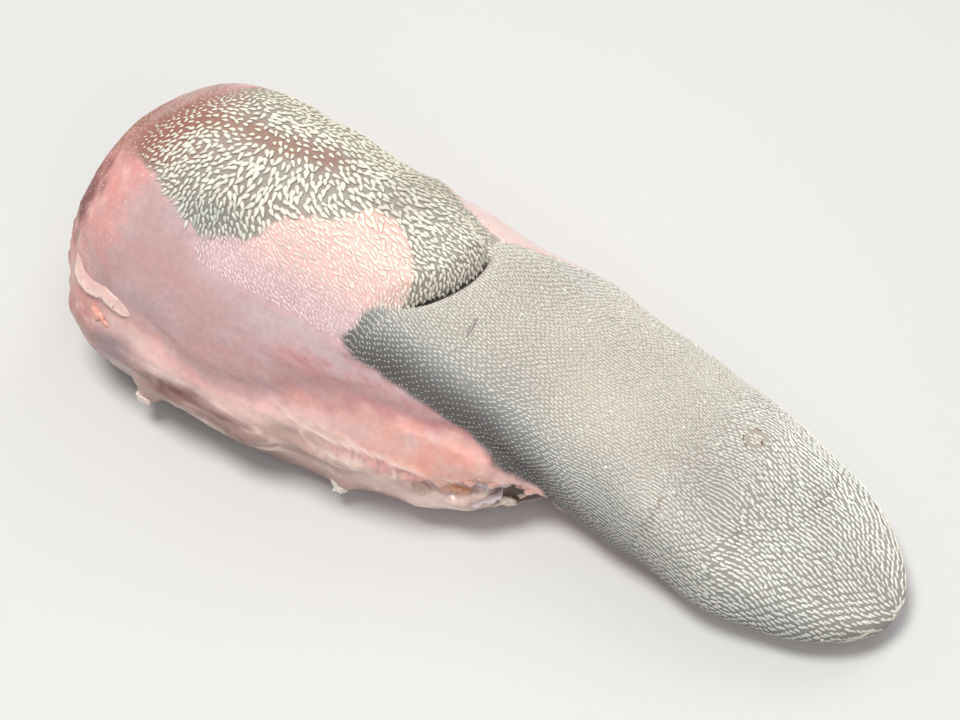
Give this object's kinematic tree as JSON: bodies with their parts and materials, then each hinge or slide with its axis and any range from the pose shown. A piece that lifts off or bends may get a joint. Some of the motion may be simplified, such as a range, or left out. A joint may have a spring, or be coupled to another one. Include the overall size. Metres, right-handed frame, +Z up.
{
  "type": "raw beef tongue",
  "caption": "Whole raw beef tongue with its root, a raised papillae-covered hump, a long flat tip and a fatty ragged base, lying flat.",
  "frame": {"origin": "middle of the bounding box's footprint, on the surface that the tongue lies on", "axes": "+X from the cut root to the tip, -Y towards the tongue's right side, +Z up"},
  "size_m": [0.3389, 0.1304, 0.1096],
  "materials": {
    "raw_tongue": "wet raw skin, grey and cream in front, pink on the root"
  },
  "bodies": {
    "root": {"beef_tongue": "raw_tongue"}
  },
  "joints": []
}
